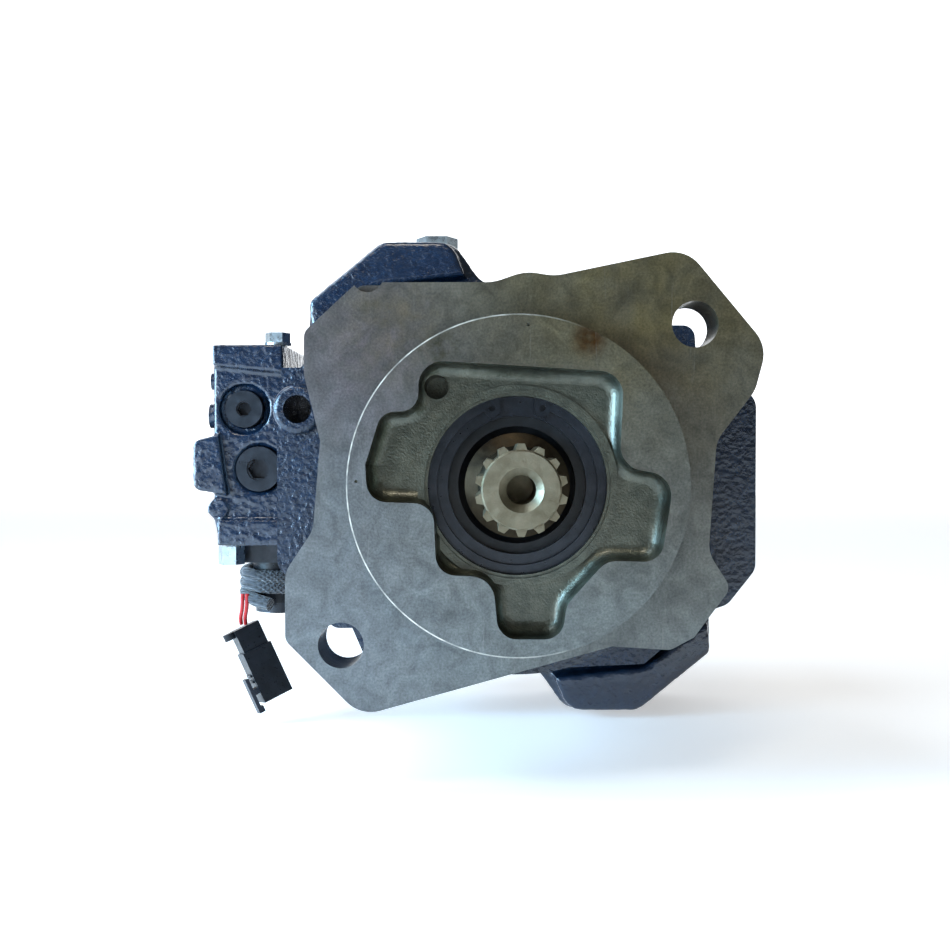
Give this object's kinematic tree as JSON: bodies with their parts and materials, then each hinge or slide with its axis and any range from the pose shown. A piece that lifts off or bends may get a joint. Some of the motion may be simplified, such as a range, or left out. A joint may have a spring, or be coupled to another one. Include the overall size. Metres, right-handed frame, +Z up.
{
  "type": "axial piston pump",
  "caption": "Swashplate axial piston pump with a two-bolt pilot flange, splined shaft, side port bosses, a regulator block and a solenoid with a braided lead and plug.",
  "frame": {"origin": "centre of the pilot on the flange's mounting face", "axes": "+Z up, +X right, +Y back into the pump; the splined shaft points along -Y"},
  "size_m": [0.2545, 0.2971, 0.2435],
  "materials": {
    "machined": "machined, oily",
    "painted": "glossy dark blue paint on rough casting",
    "shaft": "ground",
    "zinc": "zinc plated",
    "steel": "ground",
    "black_steel": "black oxide",
    "bronze": "machined",
    "seal": "matt",
    "sleeve": "braided",
    "wire": "smooth",
    "plastic": "moulded"
  },
  "bodies": {
    "pump_case": {"pump_housing": "machined", "swash_support": "steel", "cradle_bearings": "bronze", "bearing_outer_rings": "steel", "shaft_seal": "seal", "seal_washer": "steel", "seal_circlip": "black_steel", "valve_plate": "bronze", "control_cylinder": "steel", "bias_spring": "steel", "bias_spring_guide": "steel", "end_cover": "painted", "cover_screws": "black_steel", "regulator_block": "painted", "spool_plugs": "black_steel", "upper_spool_spring": "steel", "lower_spool_spring": "steel", "adjusting_screws": "black_steel", "lock_nuts": "black_steel", "hex_plugs": "zinc", "regulator_side_plugs": "black_steel", "solenoid_tube": "black_steel", "solenoid_coil": "plastic", "solenoid_nut": "black_steel", "lead_coil": "sleeve", "lead_wires": "wire", "connector_body": "plastic"},
    "rotor": {"drive_shaft": "shaft", "cylinder_block": "steel", "block_spring": "steel", "block_spring_rings": "steel", "retaining_ball": "steel", "bearing_inner_rings": "steel", "bearing_rollers": "steel"},
    "swash": {"swash_plate": "steel"},
    "retainer": {"retainer_plate": "steel"},
    "control_piston": {"control_piston": "steel"},
    "bias_seat": {"bias_spring_seat": "steel"},
    "upper_spool": {"upper_spool": "steel"},
    "lower_spool": {"lower_spool": "steel"},
    "latch": {"connector_latch": "plastic"},
    "slipper_1": {"slipper_1": "steel"},
    "piston_1": {"piston_1": "steel"},
    "slipper_2": {"slipper_2": "steel"},
    "piston_2": {"piston_2": "steel"},
    "slipper_3": {"slipper_3": "steel"},
    "piston_3": {"piston_3": "steel"},
    "slipper_4": {"slipper_4": "steel"},
    "piston_4": {"piston_4": "steel"},
    "slipper_5": {"slipper_5": "steel"},
    "piston_5": {"piston_5": "steel"},
    "slipper_6": {"slipper_6": "steel"},
    "piston_6": {"piston_6": "steel"},
    "slipper_7": {"slipper_7": "steel"},
    "piston_7": {"piston_7": "steel"},
    "slipper_8": {"slipper_8": "steel"},
    "piston_8": {"piston_8": "steel"},
    "slipper_9": {"slipper_9": "steel"},
    "piston_9": {"piston_9": "steel"}
  },
  "joints": [
    {"name": "shaft_spin", "type": "hinge", "parent": "pump_case", "child": "rotor", "pos_m": [0, 0, 0], "axis": [0, 1, 0], "continuous": true},
    {"name": "swash_tilt", "type": "hinge", "parent": "pump_case", "child": "swash", "pos_m": [0, 0.08, 0], "axis": [-0.7071, 0, 0.7071], "range_deg": [0, 15], "stiffness_Nm_per_rad": 40, "springref_deg": -8.59},
    {"name": "retainer_spin", "type": "hinge", "parent": "swash", "child": "retainer", "pos_m": [0, 0.08, 0], "axis": [0.183, 0.9659, 0.183], "continuous": true},
    {"name": "slipper_1_turn", "type": "hinge", "parent": "retainer", "child": "slipper_1", "pos_m": [0.03151, 0.07826, -0.02234], "axis": [0.183, 0.9659, 0.183], "continuous": true},
    {"name": "piston_1_swivel", "type": "hinge", "parent": "slipper_1", "child": "piston_1", "pos_m": [0.03151, 0.07826, -0.02234], "axis": [-0.7071, 0, 0.7071], "range_deg": [-15.2, 0.2]},
    {"name": "slipper_2_turn", "type": "hinge", "parent": "retainer", "child": "slipper_2", "pos_m": [0.0378, 0.07233, 0.00266], "axis": [0.183, 0.9659, 0.183], "continuous": true},
    {"name": "piston_2_swivel", "type": "hinge", "parent": "slipper_2", "child": "piston_2", "pos_m": [0.0378, 0.07233, 0.00266], "axis": [-0.7071, 0, 0.7071], "range_deg": [-15.2, 0.2]},
    {"name": "slipper_3_turn", "type": "hinge", "parent": "retainer", "child": "slipper_3", "pos_m": [0.0264, 0.06999, 0.0264], "axis": [0.183, 0.9659, 0.183], "continuous": true},
    {"name": "piston_3_swivel", "type": "hinge", "parent": "slipper_3", "child": "piston_3", "pos_m": [0.0264, 0.06999, 0.0264], "axis": [-0.7071, 0, 0.7071], "range_deg": [-15.2, 0.2]},
    {"name": "slipper_4_turn", "type": "hinge", "parent": "retainer", "child": "slipper_4", "pos_m": [0.00266, 0.07233, 0.0378], "axis": [0.183, 0.9659, 0.183], "continuous": true},
    {"name": "piston_4_swivel", "type": "hinge", "parent": "slipper_4", "child": "piston_4", "pos_m": [0.00266, 0.07233, 0.0378], "axis": [-0.7071, 0, 0.7071], "range_deg": [-15.2, 0.2]},
    {"name": "slipper_5_turn", "type": "hinge", "parent": "retainer", "child": "slipper_5", "pos_m": [-0.02234, 0.07826, 0.03151], "axis": [0.183, 0.9659, 0.183], "continuous": true},
    {"name": "piston_5_swivel", "type": "hinge", "parent": "slipper_5", "child": "piston_5", "pos_m": [-0.02234, 0.07826, 0.03151], "axis": [-0.7071, 0, 0.7071], "range_deg": [-15.2, 0.2]},
    {"name": "slipper_6_turn", "type": "hinge", "parent": "retainer", "child": "slipper_6", "pos_m": [-0.03688, 0.085, 0.01047], "axis": [0.183, 0.9659, 0.183], "continuous": true},
    {"name": "piston_6_swivel", "type": "hinge", "parent": "slipper_6", "child": "piston_6", "pos_m": [-0.03688, 0.085, 0.01047], "axis": [-0.7071, 0, 0.7071], "range_deg": [-15.2, 0.2]},
    {"name": "slipper_7_turn", "type": "hinge", "parent": "retainer", "child": "slipper_7", "pos_m": [-0.03416, 0.0894, -0.01546], "axis": [0.183, 0.9659, 0.183], "continuous": true},
    {"name": "piston_7_swivel", "type": "hinge", "parent": "slipper_7", "child": "piston_7", "pos_m": [-0.03416, 0.0894, -0.01546], "axis": [-0.7071, 0, 0.7071], "range_deg": [-15.2, 0.2]},
    {"name": "slipper_8_turn", "type": "hinge", "parent": "retainer", "child": "slipper_8", "pos_m": [-0.01546, 0.0894, -0.03416], "axis": [0.183, 0.9659, 0.183], "continuous": true},
    {"name": "piston_8_swivel", "type": "hinge", "parent": "slipper_8", "child": "piston_8", "pos_m": [-0.01546, 0.0894, -0.03416], "axis": [-0.7071, 0, 0.7071], "range_deg": [-15.2, 0.2]},
    {"name": "slipper_9_turn", "type": "hinge", "parent": "retainer", "child": "slipper_9", "pos_m": [0.01047, 0.085, -0.03688], "axis": [0.183, 0.9659, 0.183], "continuous": true},
    {"name": "piston_9_swivel", "type": "hinge", "parent": "slipper_9", "child": "piston_9", "pos_m": [0.01047, 0.085, -0.03688], "axis": [-0.7071, 0, 0.7071], "range_deg": [-15.2, 0.2]},
    {"name": "control_piston_slide", "type": "slide", "parent": "pump_case", "child": "control_piston", "axis": [0, -1, 0], "range_m": [0, 0.0178]},
    {"name": "bias_seat_slide", "type": "slide", "parent": "pump_case", "child": "bias_seat", "axis": [0, 1, 0], "range_m": [0, 0.0174], "deforming": ["bias_spring"]},
    {"name": "upper_spool_slide", "type": "slide", "parent": "pump_case", "child": "upper_spool", "axis": [0, 1, 0], "range_m": [0, 0.0018], "stiffness_N_per_m": 2000, "springref_m": -0.002, "deforming": ["upper_spool_spring"]},
    {"name": "lower_spool_slide", "type": "slide", "parent": "pump_case", "child": "lower_spool", "axis": [0, 1, 0], "range_m": [0, 0.0018], "stiffness_N_per_m": 2000, "springref_m": -0.002, "deforming": ["lower_spool_spring"]},
    {"name": "latch_press", "type": "hinge", "parent": "pump_case", "child": "latch", "pos_m": [-0.12483, 0.13575, -0.10486], "axis": [-0.403, 0.9008, -0.162], "range_deg": [0, 4], "stiffness_Nm_per_rad": 0.4, "springref_deg": -5.73}
  ],
  "couplings": [
    {"joint": "retainer_spin", "follows": "shaft_spin", "ratio": 1},
    {"joint": "slipper_1_turn", "follows": "shaft_spin", "ratio": -1},
    {"joint": "piston_1_swivel", "follows": "swash_tilt", "ratio": -1},
    {"joint": "slipper_2_turn", "follows": "shaft_spin", "ratio": -1},
    {"joint": "piston_2_swivel", "follows": "swash_tilt", "ratio": -1},
    {"joint": "slipper_3_turn", "follows": "shaft_spin", "ratio": -1},
    {"joint": "piston_3_swivel", "follows": "swash_tilt", "ratio": -1},
    {"joint": "slipper_4_turn", "follows": "shaft_spin", "ratio": -1},
    {"joint": "piston_4_swivel", "follows": "swash_tilt", "ratio": -1},
    {"joint": "slipper_5_turn", "follows": "shaft_spin", "ratio": -1},
    {"joint": "piston_5_swivel", "follows": "swash_tilt", "ratio": -1},
    {"joint": "slipper_6_turn", "follows": "shaft_spin", "ratio": -1},
    {"joint": "piston_6_swivel", "follows": "swash_tilt", "ratio": -1},
    {"joint": "slipper_7_turn", "follows": "shaft_spin", "ratio": -1},
    {"joint": "piston_7_swivel", "follows": "swash_tilt", "ratio": -1},
    {"joint": "slipper_8_turn", "follows": "shaft_spin", "ratio": -1},
    {"joint": "piston_8_swivel", "follows": "swash_tilt", "ratio": -1},
    {"joint": "slipper_9_turn", "follows": "shaft_spin", "ratio": -1},
    {"joint": "piston_9_swivel", "follows": "swash_tilt", "ratio": -1},
    {"joint": "control_piston_slide", "follows": "swash_tilt", "m_per_rad": 0.067605},
    {"joint": "bias_seat_slide", "follows": "swash_tilt", "m_per_rad": 0.065449}
  ]
}
